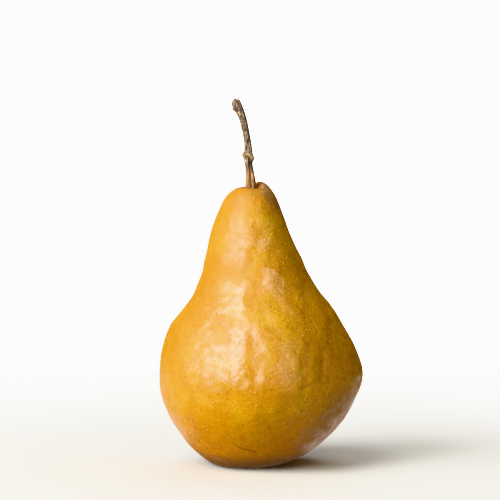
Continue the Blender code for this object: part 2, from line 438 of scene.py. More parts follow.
def closed_grid(name, points, poles, material):
    """A smooth closed mesh over a grid that wraps round, with a pole at each end and its own UV map."""
    rows, columns, _ = points.shape
    vertices = np.vstack((points.reshape(-1, 3), poles))
    start = np.arange(rows * columns).reshape(rows, columns)
    after = np.roll(start, -1, axis=1)
    quads = np.stack((start[:-1], after[:-1], after[1:], start[1:]), axis=-1).reshape(-1, 4)
    first_pole = rows * columns
    low_fan = [(first_pole, here[1], here[0]) for here in zip(start[0], after[0])]
    high_fan = [(first_pole + 1, here[0], here[1]) for here in zip(start[-1], after[-1])]
    piece = smooth_piece(name, vertices, quads.tolist() + low_fan + high_fan, material)
    unwrap_grid(piece.data, points)
    return piece


def unwrap_grid(mesh, points):
    """A UV map with the azimuth across and the way along the outline up, cut open at the back."""
    rows, columns, _ = points.shape
    steps = np.linalg.norm(np.diff(points, axis=0), axis=-1).mean(axis=1)
    along = np.concatenate(([0.0], np.cumsum(steps)))
    along = UV_MARGIN + (1 - 2 * UV_MARGIN) * along / along[-1]
    vertex = np.zeros(len(mesh.loops), int)
    mesh.loops.foreach_get("vertex_index", vertex)
    places = np.zeros((len(vertex), 2))
    for polygon in mesh.polygons:
        loops = range(polygon.loop_start, polygon.loop_start + polygon.loop_total)
        ring_columns = [vertex[loop] % columns for loop in loops if vertex[loop] < rows * columns]
        wraps = max(ring_columns) - min(ring_columns) > 1
        for loop in loops:
            row, column = divmod(int(vertex[loop]), columns)
            if row == rows:
                places[loop] = ((min(ring_columns) + 0.5 if not wraps else columns - 0.5) / columns, column)
            else:
                places[loop] = ((columns if wraps and column == 0 else column) / columns, along[row])
    mesh.uv_layers.new(name="OFBake").data.foreach_set("uv", places.ravel())


def add_piece(name, vertices, faces, material):
    """An object in the scene with a mesh of its own, in metres."""
    mesh = bpy.data.meshes.new(name)
    mesh.from_pydata(vertices, [], faces)
    mesh.materials.append(material)
    piece = bpy.data.objects.new(name, mesh)
    bpy.context.scene.collection.objects.link(piece)
    return piece


def smooth_piece(name, points, faces, material):
    """A smooth object with its points given in millimetres."""
    piece = add_piece(name, (np.asarray(points, float) * MM).tolist(), faces, material)
    piece.data.shade_smooth()
    return piece


def part_of_pear(piece, slot, *nodes):
    """Attach a piece to the pear's root body and hide the solids' nodes it stands for; the slot is not used.
    """
    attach(piece, "root")
    if nodes:
        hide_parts(*nodes)


# Node helpers

NOISE_MIDDLE = 0.5
WARP_DETAIL = 3
WARP_ROUGHNESS = 0.5
STRAIGHT_ON = (1.0, 0.0, 1.0)


def new_material(name):
    """A node material and its tree."""
    material = bpy.data.materials.new(name)
    material.use_nodes = True
    return material, material.node_tree


def plug(tree, socket, value):
    """Set a socket to a value, or link another node's output to it."""
    if isinstance(value, bpy.types.NodeSocket):
        tree.links.new(value, socket)
    elif isinstance(value, tuple) and len(value) == 3 and socket.type == "RGBA":
        socket.default_value = (*value, 1)
    else:
        socket.default_value = value


def fill(tree, made, sockets):
    """Set or link a node's sockets by name or number, and give its outputs."""
    for name, value in sockets.items():
        plug(tree, made.inputs[name], value)
    return made.outputs


def finish(material, looks):
    """Set or link the sockets of the material's shader."""
    fill(material.node_tree, material.node_tree.nodes["Principled BSDF"], looks)
    return material


def maths(tree, operation, first, second=0.0):
    """A Math node's output."""
    made = tree.nodes.new("ShaderNodeMath")
    made.operation = operation
    return fill(tree, made, {0: first, 1: second})[0]


def vector_maths(tree, operation, first, second, output="Vector"):
    """A Vector Math node's output."""
    made = tree.nodes.new("ShaderNodeVectorMath")
    made.operation = operation
    return fill(tree, made, {0: first, "Scale" if operation == "SCALE" else 1: second})[output]


def ramp(tree, value, low, high, to_low=0.0, to_high=1.0):
    """A smooth step of a value from one range to another."""
    made = tree.nodes.new("ShaderNodeMapRange")
    made.interpolation_type = "SMOOTHSTEP"
    ends = {"From Min": low, "From Max": high, "To Min": to_low, "To Max": to_high}
    return fill(tree, made, {"Value": value, **ends})["Result"]


def mix_colour(tree, share, first, second):
    """A colour between two."""
    made = tree.nodes.new("ShaderNodeMix")
    made.data_type = "RGBA"
    return fill(tree, made, {"Factor": share, 6: first, 7: second})[2]


def millimetres(tree):
    """The place on the piece in millimetres."""
    place = tree.nodes.new("ShaderNodeTexCoord").outputs["Object"]
    return vector_maths(tree, "SCALE", place, 1 / MM)


def axes(tree, place):
    """The x, y and z of a place."""
    return fill(tree, tree.nodes.new("ShaderNodeSeparateXYZ"), {0: place})


def noise_at(tree, place, size, detail, roughness):
    """Noise with features of about the given size in millimetres, as a value and as a colour."""
    sockets = {"Vector": place, "Scale": 1 / size, "Detail": detail, "Roughness": roughness}
    return fill(tree, tree.nodes.new("ShaderNodeTexNoise"), sockets)


def clouds(tree, place, size, detail, roughness):
    """Noise as a value."""
    return noise_at(tree, place, size, detail, roughness)["Fac"]


def cloud_ramp(tree, place, layer):
    """A smooth step of noise: its size, detail, roughness, its two ends, and what it gives at each."""
    return ramp(tree, clouds(tree, place, *layer[:3]), *layer[3:])


def wandering(tree, place, value, unevenness):
    """A value with noise about zero added: its size, detail, roughness and full reach."""
    size, detail, roughness, reach = unevenness
    shift = maths(tree, "SUBTRACT", clouds(tree, place, size, detail, roughness), NOISE_MIDDLE)
    return maths(tree, "ADD", value, maths(tree, "MULTIPLY", shift, reach))


def bump(tree, height, strength, distance, below=None):
    """A bump node's normal, on top of another one if that is given."""
    sockets = {"Strength": strength, "Distance": distance * MM, "Height": height}
    if below is not None:
        sockets["Normal"] = below
    return fill(tree, tree.nodes.new("ShaderNodeBump"), sockets)["Normal"]


def warp(tree, place, size, reach):
    """The place moved about by noise, so that what is drawn from it gets an uneven edge."""
    wander = noise_at(tree, place, size, WARP_DETAIL, WARP_ROUGHNESS)["Color"]
    shift = vector_maths(tree, "SUBTRACT", wander, (NOISE_MIDDLE, NOISE_MIDDLE, NOISE_MIDDLE))
    return vector_maths(tree, "ADD", place, vector_maths(tree, "SCALE", shift, reach))


def cloud_bump(tree, place, layer, below=None):
    """A bump of noise: its size, detail, roughness, strength and distance."""
    return bump(tree, clouds(tree, place, *layer[:3]), *layer[3:], below)


def distance_from(tree, place, centre):
    """How far the place is from a centre."""
    return vector_maths(tree, "DISTANCE", place, centre, "Value")


def in_front(tree, place, front_of=0.0):
    """1 in front of a plane across the pear and 0 behind it."""
    return maths(tree, "LESS_THAN", axes(tree, place)["Y"], front_of)


def near_line(tree, place, line, half_width, front_of=0.0):
    """1 on a line of x and height on the front, fading to 0 at a half width beside it."""
    flat = vector_maths(tree, "MULTIPLY", place, STRAIGHT_ON)
    nearest = None
    for (x_1, height_1), (x_2, height_2) in zip(line, line[1:]):
        run = (x_2 - x_1, 0.0, height_2 - height_1)
        to_place = vector_maths(tree, "SUBTRACT", flat, (x_1, 0.0, height_1))
        share = vector_maths(tree, "DOT_PRODUCT", to_place, run, "Value")
        share = maths(tree, "DIVIDE", share, run[0] ** 2 + run[2] ** 2)
        share = maths(tree, "MINIMUM", maths(tree, "MAXIMUM", share, 0.0), 1.0)
        gap = distance_from(tree, to_place, vector_maths(tree, "SCALE", run, share))
        nearest = gap if nearest is None else maths(tree, "MINIMUM", nearest, gap)
    on_line = ramp(tree, nearest, 0.0, half_width, 1.0, 0.0)
    return maths(tree, "MULTIPLY", on_line, in_front(tree, place, front_of))


# Materials

GOLD = (0.710, 0.366, 0.0010)
AMBER = (0.640, 0.278, 0.0008)
OLIVE = (0.520, 0.214, 0.0010)
MOTTLE = (0.600, 0.240, 0.0008)
FOOT_BROWN = (0.620, 0.214, 0.0020)
# Russet round the calyx, also standing in as painted shade where the base meets the floor
BASE_RUSSET_AND_SHADE = (0.240, 0.110, 0.040)
RUSSET = (0.430, 0.225, 0.105)
FRECKLE = (0.420, 0.160, 0.0040)
# Painted shade in the flutes of the right side
FLUTE_SHADE = (0.340, 0.120, 0.0020)
# Painted shade in the longest crease
CREASE_SHADE = (0.170, 0.060, 0.008)
RIM_BROWN = (0.360, 0.150, 0.035)
# Painted shade of the lower right flank, with a grey cast of painted floor reflection
FLANK_SHADE = (0.300, 0.140, 0.030)

# Noise in the skin's colour, each row as cloud_ramp takes it
AMBER_CLOUDS = (21, 3, 0.5, 0.38, 0.62, 0, 1)
OLIVE_CLOUDS = (12, 4, 0.6, 0.50, 0.72, 0, 0.42)
MOTTLE_CLOUDS = (5.5, 5, 0.65, 0.44, 0.66, 0, 0.6)
FRECKLES = (1.9, 3, 0.6, 0.56, 0.72, 0, 0.6)
GRAIN = (0.55, 3, 0.65, 0.30, 0.70, 0.78, 1.18)
# Where other colours come in, as the ends of a smooth step and the shares there: one by x, four by
# height, and two by the distance from a centre
# The one by x is painted shade: the right side, turned from the key light, darker and more orange
AMBER_SHADE_BY_X = (2, 26, 0, 0.8)
FOOT_BELOW = (30, 5, 0, 0.9)
# The base's step darkens it: russet round the calyx and painted shade where it meets the floor
BASE_BELOW = (8.0, 1.5, 0, 0.8)
RUSSET_ABOVE = (96, 103, 0, 0.7)
RIM_ABOVE = (99.5, 100.2, 0, 0.75)
SHOULDER_CENTRE = (6.5, 1.5, 98.0)
SHOULDER_WITHIN = (10.0, 5.5, 0, 0.8)
# The flank's patch is painted shade of the lower right, greyed like a reflection of the floor
FLANK_CENTRE = (26.5, -12.5, 14.5)
FLANK_WITHIN = (21.0, 11.0, 0, 0.65)
# Unevenness of their edges, as wandering takes the first and warp takes the others
LEVEL_WANDER = (7, 4, 0.6, 18.0)
SHOULDER_WARP = (3.0, 4.0)
FLANK_WARP = (7.0, 9.0)
FLUTE_WARP = (2.5, 2.0)

# Painted shade in the flutes of the right side, darker and browner than the skin beside them, as lines of x
# and height
FLUTES = (
    ((15.6, 47.0), (15.4, 33.0)),
    ((23.6, 54.0), (23.9, 44.0), (23.2, 33.0)),
)
FLUTE_HALF_WIDTH = 2.0
FLUTE_SHARE = 0.55


def skin_colour(tree, place):
    """Gold with clouds of other browns and freckles, a brown foot, russet at the top, and painted shade: the
    right side darker and more orange, the lower right flank brown with a grey cast of painted floor
    reflection, russet with painted shade at the base, and the flutes darker.
    """
    height = axes(tree, place)["Z"]
    level = wandering(tree, place, height, LEVEL_WANDER)
    to_shoulder = distance_from(tree, warp(tree, place, *SHOULDER_WARP), SHOULDER_CENTRE)
    to_flank = distance_from(tree, warp(tree, place, *FLANK_WARP), FLANK_CENTRE)
    layers = (
        (cloud_ramp(tree, place, AMBER_CLOUDS), AMBER),
        (cloud_ramp(tree, place, OLIVE_CLOUDS), OLIVE),
        # painted shade: the right side darker and more orange
        (ramp(tree, axes(tree, place)["X"], *AMBER_SHADE_BY_X), AMBER),
        (cloud_ramp(tree, place, MOTTLE_CLOUDS), MOTTLE),
        (ramp(tree, level, *FOOT_BELOW), FOOT_BROWN),
        # russet and painted shade at the base
        (ramp(tree, height, *BASE_BELOW), BASE_RUSSET_AND_SHADE),
        (ramp(tree, level, *RUSSET_ABOVE), RUSSET),
        (ramp(tree, height, *RIM_ABOVE), RIM_BROWN),
        (ramp(tree, to_shoulder, *SHOULDER_WITHIN), RUSSET),
        # painted shade and floor reflection on the lower right flank
        (ramp(tree, to_flank, *FLANK_WITHIN), FLANK_SHADE),
    )
    colour = GOLD
    for share, layer_colour in layers:
        colour = mix_colour(tree, share, colour, layer_colour)
    # painted shade darkening the flutes
    for line in FLUTES:
        in_flute = near_line(tree, warp(tree, place, *FLUTE_WARP), line, FLUTE_HALF_WIDTH)
        colour = mix_colour(tree, maths(tree, "MULTIPLY", in_flute, FLUTE_SHARE), colour, FLUTE_SHADE)
    colour = mix_colour(tree, cloud_ramp(tree, place, FRECKLES), colour, FRECKLE)
    return vector_maths(tree, "SCALE", colour, cloud_ramp(tree, place, GRAIN))


# Where the front's wax is worn dull and where it shines: x, height, half width, half height, lean, share
DULL_PATCHES = (
    (-14.0, 49.8, 3.6, 4.0, -0.4, 0.85),
    (-3.9, 42.0, 1.5, 11.5, -0.03, 0.95),
    (-13.0, 54.6, 7.0, 2.2, 0.2, 0.7),
    (-3.2, 61.5, 3.4, 8.0, 0.0, 0.95),
    (-3.8, 77.3, 2.6, 2.9, 0.0, 0.9),
    (15.0, 57.0, 19.0, 30.0, -0.15, 0.85),
    (-7.0, 24.5, 17.0, 7.0, 0.0, 0.8),
)
GLOSS_PATCHES = (
    (-8.8, 42.6, 3.0, 4.6, 0.0, 0.9),
    (0.1, 47.6, 1.1, 4.8, -0.55, 0.32),
    (-0.2, 37.8, 1.3, 4.6, 0.1, 0.3),
    (4.8, 66.8, 3.6, 5.8, -0.4, 1.0),
    (8.4, 59.9, 2.4, 5.0, -0.7, 0.8),
    (9.8, 39.0, 4.6, 8.8, 0.0, 0.6),
    (0.9, 81.3, 1.9, 2.6, 0.0, 0.7),
)
# A patch fades out between these shares of its half widths
PATCH_EDGE = (0.75, 1.25)
WAX_WARP = (3.2, 5.0)
# Noise in the wax, each row as cloud_ramp takes it
WAX_CLOUDS = (3.4, 4, 0.62, 0.36, 0.62, 0.15, 1.0)
WAX_SPECKLE = (0.9, 4, 0.65, 0.34, 0.62, 0.3, 1.0)
# The wax by height, as the ends of a smooth step and the shares there
WAX_BELOW_WAIST = (69.5, 64.5, 0.0, 1.0)
WAX_ABOVE_FOOT = (30.0, 36.0, 0.5, 1.0)
WAX_ON_NECK = (71.5, 76.5, 0.0, 0.4)
WAX_TO_TOP = (84.0, 94.0, 1.0, 0.15)


def on_patch(tree, place, patch):
    """The patch's share on an oval of the front and 0 beyond its edge."""
    x, height, half_width, half_height, lean, share = patch
    gap = vector_maths(tree, "SUBTRACT", place, (x, 0.0, height))
    across = vector_maths(tree, "DOT_PRODUCT", gap, (1 / half_width, 0.0, -lean / half_width), "Value")
    along = vector_maths(tree, "DOT_PRODUCT", gap, (0.0, 0.0, 1 / half_height), "Value")
    squares = maths(tree, "ADD", maths(tree, "POWER", across, 2.0), maths(tree, "POWER", along, 2.0))
    inside = ramp(tree, maths(tree, "SQRT", squares), *PATCH_EDGE, share, 0.0)
    return maths(tree, "MULTIPLY", inside, in_front(tree, place))


def skin_wax(tree, place):
    """How much the skin shines: broken up in patches, dull round the waist, with the front's own patches."""
    height = axes(tree, place)["Z"]
    warped = warp(tree, place, *WAX_WARP)
    level = axes(tree, warped)["Z"]
    speckle = cloud_ramp(tree, place, WAX_SPECKLE)
    wax = maths(tree, "MULTIPLY", cloud_ramp(tree, place, WAX_CLOUDS), speckle)
    for patch in DULL_PATCHES:
        wax = maths(tree, "MULTIPLY", wax, maths(tree, "SUBTRACT", 1.0, on_patch(tree, warped, patch)))
    above_foot = ramp(tree, level, *WAX_ABOVE_FOOT)
    belly = maths(tree, "MULTIPLY", ramp(tree, level, *WAX_BELOW_WAIST), above_foot)
    neck = ramp(tree, level, *WAX_ON_NECK)
    wax = maths(tree, "MULTIPLY", wax, maths(tree, "MAXIMUM", belly, neck))
    wax = maths(tree, "MULTIPLY", wax, ramp(tree, height, *WAX_TO_TOP))
    for patch in GLOSS_PATCHES:
        wax = maths(tree, "MAXIMUM", wax, maths(tree, "MULTIPLY", speckle, on_patch(tree, warped, patch)))
    return wax


SKIN_ROUGHNESS = 0.5
SKIN_SPECULAR = 0.08
WAX_ROUGHNESS = 0.31
# How far the painted shade beside the longest crease reaches
CREASE_SHADE_HALF_WIDTH = 0.27
# Bumps of the skin, each row as cloud_bump takes it
SKIN_WAVES = (4.6, 3, 0.5, 0.6, 0.9)
SKIN_GRAIN = (0.65, 3, 0.6, 0.7, 0.2)


def skin_material():
    """The waxy skin, with painted shade darkening the longest crease."""
    material, tree = new_material("pear_skin")
    place = millimetres(tree)
    # painted shade along the longest crease
    in_crease = near_line(tree, place, CREASES[0], CREASE_SHADE_HALF_WIDTH)
    normal = cloud_bump(tree, place, SKIN_GRAIN, cloud_bump(tree, place, SKIN_WAVES))
    return finish(material, {
        "Base Color": mix_colour(tree, in_crease, skin_colour(tree, place), CREASE_SHADE),
        "Roughness": SKIN_ROUGHNESS,
        "Specular IOR Level": SKIN_SPECULAR,
        "Normal": normal,
        "Coat Weight": skin_wax(tree, place),
        "Coat Roughness": WAX_ROUGHNESS,
        "Coat Normal": normal,
    })


PORE_GOLD = (0.820, 0.455, 0.030)
PORE_TAN = (0.740, 0.430, 0.105)
PORE_TAN_BY_X = (-12, 14)
PORE_ROUGHNESS = 0.6


def pore_material():
    """Pale gold on the left to corky tan on the right."""
    material, tree = new_material("pear_pores")
    to_right = ramp(tree, axes(tree, millimetres(tree))["X"], *PORE_TAN_BY_X)
    colour = mix_colour(tree, to_right, PORE_GOLD, PORE_TAN)
    return finish(material, {"Base Color": colour, "Roughness": PORE_ROUGHNESS})


BARK_DARK = (0.042, 0.023, 0.012)
BARK_PALE = (0.400, 0.236, 0.132)
BARK_ORANGE = (0.420, 0.190, 0.045)
BARK_TAN = (0.370, 0.172, 0.046)
BARK_TAN_DARK = (0.125, 0.058, 0.018)
SCAR_PALE = (0.800, 0.560, 0.300)
# Streaks of noise drawn out along the stem: size, detail and roughness, and the noise where the pale
# parts come in above the knob and below it
BARK_STRETCH = (1.0, 1.0, 0.32)
BARK_STREAKS = (0.55, 4, 0.65)
PALE_FLECKS = (0.44, 0.66)
TAN_FLECKS = (0.34, 0.52)
# The heights between which the bark changes, and how uneven that is, as wandering takes it
BARK_CHANGE = (104.5, 108.5)
BARK_CHANGE_WANDER = (1.6, 3, 0.5, 7.0)
# The bark's roughness as a smooth step of the streaks, the strength and distance of their bump, and a
# finer one as cloud_bump takes it
BARK_SPECULAR = 0.2
BARK_ROUGHNESS = (0.3, 0.7, 0.85, 0.6)
STREAK_BUMP = (0.8, 0.25)
BARK_GRAIN = (0.25, 3, 0.5, 0.4, 0.06)
# Marks on the stem's front: line of x and height, half width and colour
BARK_MARKS = (
    (((-7.0, 112.0), (-6.4, 110.2)), 0.9, BARK_ORANGE),
    (((-3.5, 111.2), (-3.0, 109.9)), 0.9, BARK_ORANGE),
    (((-5.1, 111.4), (-4.6, 109.8)), 0.75, BARK_DARK),
    (((-5.3, 112.3), (-4.3, 111.8), (-3.5, 112.9)), 0.55, SCAR_PALE),
    (((-5.6, 110.1), (-5.4, 109.6)), 0.4, SCAR_PALE),
    (((-8.2, 127.2), (-7.8, 126.4)), 0.5, SCAR_PALE),
    # painted shade along the groove below the knob
    (((-5.0, 107.0), (-4.3, 101.0)), 0.55, BARK_TAN_DARK),
)
MARK_WARP = (0.8, 1.0)
MARK_SHARE = 0.85


def stem_material():
    """Weathered bark: flecked brown above the knob, tan orange below it, with painted shade along the groove
    there.
    """
    material, tree = new_material("pear_stem")
    place = millimetres(tree)
    streaks = clouds(tree, vector_maths(tree, "MULTIPLY", place, BARK_STRETCH), *BARK_STREAKS)
    dark = mix_colour(tree, ramp(tree, streaks, *PALE_FLECKS), BARK_DARK, BARK_PALE)
    tan = mix_colour(tree, ramp(tree, streaks, *TAN_FLECKS), BARK_TAN_DARK, BARK_TAN)
    level = wandering(tree, place, axes(tree, place)["Z"], BARK_CHANGE_WANDER)
    colour = mix_colour(tree, ramp(tree, level, *BARK_CHANGE), tan, dark)
    warped = warp(tree, place, *MARK_WARP)
    for line, half_width, mark in BARK_MARKS:
        on_mark = near_line(tree, warped, line, half_width, STEM_MIDDLE_Y)
        colour = mix_colour(tree, maths(tree, "MULTIPLY", on_mark, MARK_SHARE), colour, mark)
    return finish(material, {
        "Base Color": colour,
        "Roughness": ramp(tree, streaks, *BARK_ROUGHNESS),
        "Specular IOR Level": BARK_SPECULAR,
        "Normal": cloud_bump(tree, place, BARK_GRAIN, bump(tree, streaks, *STREAK_BUMP)),
    })


SEPAL_DARK = (0.035, 0.020, 0.011)
SEPAL_PALE = (0.20, 0.115, 0.055)
# Noise between the two colours by size, detail and roughness, and the bump as cloud_bump takes it
SEPAL_CLOUDS = (0.5, 4, 0.5)
SEPAL_GRAIN = (0.3, 3, 0.5, 0.6, 0.08)
SEPAL_ROUGHNESS = 0.85


def calyx_material():
    """Dry brown sepals."""
    material, tree = new_material("pear_calyx")
    place = millimetres(tree)
    return finish(material, {
        "Base Color": mix_colour(tree, clouds(tree, place, *SEPAL_CLOUDS), SEPAL_DARK, SEPAL_PALE),
        "Roughness": SEPAL_ROUGHNESS,
        "Normal": cloud_bump(tree, place, SEPAL_GRAIN),
    })


# Pieces

def make_skin():
    """The fruit's skin, and its points for what sits on it."""
    points = skin_grid()
    basin_pole = (BASE_CENTRE, 0.0, BASIN_DEPTH)
    throat_pole = (TOP_CENTRE, NECK_LEAN, THROAT_OUTLINE[-1][1])
    piece = closed_grid("pear_skin", points, (basin_pole, throat_pole), skin_material())
    part_of_pear(piece, "skin", "fruit")
    return points


def pore_sites(points):
    """Places for the pores as row, column and size, spread by area and kept apart."""
    draw = np.random.default_rng(PORE_SEED)
    columns = points.shape[1]
    lowest, highest = PORE_HEIGHTS
    around = np.linalg.norm(np.roll(points, -1, axis=1) - points, axis=-1)[:-1].sum(axis=1)
    along = np.linalg.norm(np.diff(points, axis=0), axis=-1).mean(axis=1)
    share = np.cumsum(around * along)
    sites = []
    taken = {}
    while len(sites) < PORE_COUNT:
        row = int(np.searchsorted(share, draw.random() * share[-1]))
        column = int(draw.integers(columns))
        size = draw.random() ** PORE_SIZE_POWER
        place = points[row, column]
        if not lowest <= place[2] <= highest:
            continue
        if draw.random() > PORE_LOW_SHARE + (1 - PORE_LOW_SHARE) * ease(place[2], *PORE_DENSITY_RISE):
            continue
        cell = tuple((place // PORE_SPACING).astype(int))
        around_cell = [(cell[0] + i, cell[1] + j, cell[2] + k)
                       for i in (-1, 0, 1) for j in (-1, 0, 1) for k in (-1, 0, 1)]
        near = [taken[key] for key in around_cell if key in taken]
        if any(np.linalg.norm(place - other) < PORE_SPACING for other in near):
            continue
        taken[cell] = place
        sites.append((row, column, size))
    return np.array(sites)


def make_pores(points):
    """Small low domes on the skin."""
    sites = pore_sites(points)
    rows, columns = sites[:, 0].astype(int), sites[:, 1].astype(int)
    centre = points[rows, columns]
    out = grid_normals(points)[rows, columns]
    side = np.cross(out, PORE_TURN)
    side /= np.linalg.norm(side, axis=1, keepdims=True)
    up = np.cross(out, side)
    radius = (PORE_RADII[0] + (PORE_RADII[1] - PORE_RADII[0]) * sites[:, 2])[:, None]
    vertices = [centre - out * radius * PORE_RISE]
    for reach, rise in PORE_RINGS:
        for step in range(PORE_SIDES):
            turn = step * math.tau / PORE_SIDES
            edge = side * math.cos(turn) + up * math.sin(turn)
            vertices.append(centre + edge * radius * reach + out * radius * PORE_RISE * rise)
    vertices.append(centre + out * radius * PORE_RISE)
    vertices = np.stack(vertices, axis=1)
    per_pore = vertices.shape[1]
    faces = []
    for step in range(PORE_SIDES):
        low, low_after = 1 + step, 1 + (step + 1) % PORE_SIDES
        high, high_after = low + PORE_SIDES, low_after + PORE_SIDES
        faces += [(0, low_after, low), (low, low_after, high_after, high), (per_pore - 1, high, high_after)]
    every = [tuple(index + pore * per_pore for index in face) for pore in range(len(sites)) for face in faces]
    part_of_pear(smooth_piece("pear_pores", vertices.reshape(-1, 3), every, pore_material()), "skin")


def bark_ridges(azimuth, height):
    """Broad ridges that sway along the stem, and fine ones that wind round it."""
    broad_count, broad_rise = BROAD_RIDGES
    fine_count, fine_rise = FINE_RIDGES
    sway, sway_height = BROAD_RIDGE_SWAY
    broad = broad_rise * np.cos(broad_count * azimuth + sway * np.sin(height / sway_height))
    return broad + fine_rise * np.cos(fine_count * azimuth - FINE_RIDGE_TWIST * height)


def make_stem():
    """The woody stem."""
    line = np.array(STEM_LINE)
    line[:, 1] += NECK_LEAN
    ends = (2 * line[0] - line[1], 2 * line[-1] - line[-2])
    line = evenly(curve_through(np.vstack((ends[0], line, ends[1])), CURVE_STEPS), STEM_ROWS)
    azimuths = np.arange(STEM_SEGMENTS) * math.tau / STEM_SEGMENTS
    heading = np.gradient(line[:, :3], axis=0)
    points = np.zeros((STEM_ROWS, STEM_SEGMENTS, 3))
    for row, (x, y, height, radius) in enumerate(line):
        turn = np.array(Vector((0, 0, 1)).rotation_difference(Vector(heading[row])).to_matrix())
        rise = round_relief(azimuths, height, radius, STEM_RELIEF) + bark_ridges(azimuths, height)
        reach = radius + rise
        circle = np.stack((np.cos(azimuths) * reach, np.sin(azimuths) * reach, 0 * azimuths), axis=1)
        points[row] = np.array((x, y, height)) + circle @ turn.T
    rough = lumps(points * BARK_LUMP_SQUEEZE, BARK_LUMPS)
    points += grid_normals(points) * rough[..., None]
    points[..., 2] = np.minimum(points[..., 2], cad_box[1][2] / MM - TOP_GAP)
    tip_x, tip_behind, tip_height = STEM_TIP
    poles = (line[0, :3], (tip_x, NECK_LEAN + tip_behind, tip_height))
    part_of_pear(closed_grid("pear_stem", points, poles, stem_material()), "stem_bark", "stem")


def make_calyx():
    """Five dry sepals round a dark eye with the stumps of the stamens."""
    vertices = []
    faces = []
    for sepal in range(SEPALS):
        add_sepal(vertices, faces, math.tau * (sepal + 0.5) / SEPALS)
    draw = np.random.default_rng(CALYX_SEED)
    for stamen in range(STAMENS):
        turn = math.tau * (stamen + draw.random() * STAMEN_UNEVENNESS) / STAMENS
        reach = STAMEN_REACH[0] + STAMEN_REACH[1] * draw.random()
        length = STAMEN_LENGTH[0] + STAMEN_LENGTH[1] * draw.random()
        add_stamen(vertices, faces, turn, reach, length)
    part_of_pear(smooth_piece("pear_calyx", vertices, faces, calyx_material()), "dried_calyx", "calyx")


def from_eye(turn, ahead, aside):
    """The x and y of a place ahead of the calyx's middle along a turn, and aside from that way."""
    x = BASE_CENTRE + ahead * math.cos(turn) - aside * math.sin(turn)
    y = ahead * math.sin(turn) + aside * math.cos(turn)
    return x, y


def sepal_point(turn, along, across):
    """A point of a sepal's lower face by its shares along and across it."""
    fullness, more_by_tip = SEPAL_FULLNESS
    waves_along, waves_across = SEPAL_WAVES
    reach = SEPAL_START + (SEPAL_REACH - SEPAL_START) * along
    half = SEPAL_HALF_WIDTH * (1 - along) ** SEPAL_TAPER * (fullness + more_by_tip * along)
    level = CALYX_ROOF - SEPAL_BELOW_ROOF - SEPAL_DROP * along ** SEPAL_DROOP
    curl = SEPAL_CURL * across * across * (1 - along)
    wave = SEPAL_WAVE * math.sin(waves_along * along + waves_across * across + turn)
    return (*from_eye(turn, reach, across * half), level + curl + wave)


def add_sepal(vertices, faces, turn):
    """One curled, pointed sepal with a thickness."""
    first = len(vertices)
    for layer in (0, 1):
        for row in range(SEPAL_ROWS + 1):
            for column in range(SEPAL_COLUMNS + 1):
                x, y, height = sepal_point(turn, row / SEPAL_ROWS, 2 * column / SEPAL_COLUMNS - 1)
                vertices.append((x, y, height + layer * SEPAL_THICKNESS))
    width = SEPAL_COLUMNS + 1
    layer_size = (SEPAL_ROWS + 1) * width
    for row in range(SEPAL_ROWS):
        for column in range(SEPAL_COLUMNS):
            corner = first + row * width + column
            below = (corner, corner + width, corner + width + 1, corner + 1)
            faces.append(below)
            faces.append(tuple(index + layer_size for index in reversed(below)))
    edge = [first + column for column in range(width)]
    edge += [first + row * width + SEPAL_COLUMNS for row in range(1, SEPAL_ROWS + 1)]
    edge += [first + SEPAL_ROWS * width + column for column in range(SEPAL_COLUMNS - 1, -1, -1)]
    edge += [first + row * width for row in range(SEPAL_ROWS - 1, 0, -1)]
    for here, after in zip(edge, edge[1:] + edge[:1]):
        faces.append((here, after, after + layer_size, here + layer_size))


def add_stamen(vertices, faces, turn, reach, length):
    """One dry stamen, a thin bent stalk with a knob at its end."""
    first = len(vertices)
    for share, radius in STAMEN_PROFILE:
        out = reach + STAMEN_SPREAD * share * share
        level = CALYX_ROOF + STAMEN_ABOVE_ROOF - length * share
        for side in range(STAMEN_SIDES):
            spin = math.tau * side / STAMEN_SIDES
            place = from_eye(turn, out + radius * math.cos(spin), radius * math.sin(spin))
            vertices.append((*place, level))
    last = first + (len(STAMEN_PROFILE) - 1) * STAMEN_SIDES
    for ring in range(first, last, STAMEN_SIDES):
        for side in range(STAMEN_SIDES):
            here = ring + side
            after = ring + (side + 1) % STAMEN_SIDES
            faces.append((here, here + STAMEN_SIDES, after + STAMEN_SIDES, after))
    faces.append([first + side for side in range(STAMEN_SIDES)])
    faces.append([last + side for side in reversed(range(STAMEN_SIDES))])


# Stage

# The floor in metres: its reach, where it fades out, and how far the bounce and the shines lie below it
FLOOR_REACH = 0.6
FLOOR_FADE = (0.07, 0.36)
FLOOR_WHITE = (0.93, 0.93, 0.92)
FLOOR_ROUGHNESS = 0.8
BOUNCE_GREY = (0.06, 0.058, 0.055)
BOUNCE_BELOW = 0.0005
SHINE_BELOW = 0.0003
SHINE_WHITE = (1.0, 0.97, 0.93)
# Glowing sheets just under the floor that only the gloss shows, painted reflections of a bright floor: name,
# strength and corners in millimetres
SHINES = (
    ("shine_left", 2.0, ((-250, -20), (-34, -20), (-34, 60), (-60, 250), (-250, 250))),
    ("shine_right", 1.9, ((14, -40), (60, -180), (250, -180), (250, 250), (60, 250), (28, 60))),
    ("shine_under", 0.5, ((-34, -20), (14, -40), (28, 60), (60, 250), (-60, 250), (-34, 60))),
)
BACKDROP_RADIUS = 5.0
BACKDROP_RINGS = 24
BACKDROP_SIDES = 48
BACKDROP_GREY = (0.93, 0.93, 0.93)
BACKDROP_STRENGTH = 3.0


def flat_floor(name, height, colour):
    """A flat square floor that the gloss doesn't show."""
    corners = [(FLOOR_REACH * x, FLOOR_REACH * y, height) for x, y in ((-1, -1), (1, -1), (1, 1), (-1, 1))]
    material = finish(new_material(name)[0], {"Base Color": colour, "Roughness": FLOOR_ROUGHNESS})
    floor = add_piece(name, corners, [(0, 1, 2, 3)], material)
    floor.visible_glossy = False
    return floor


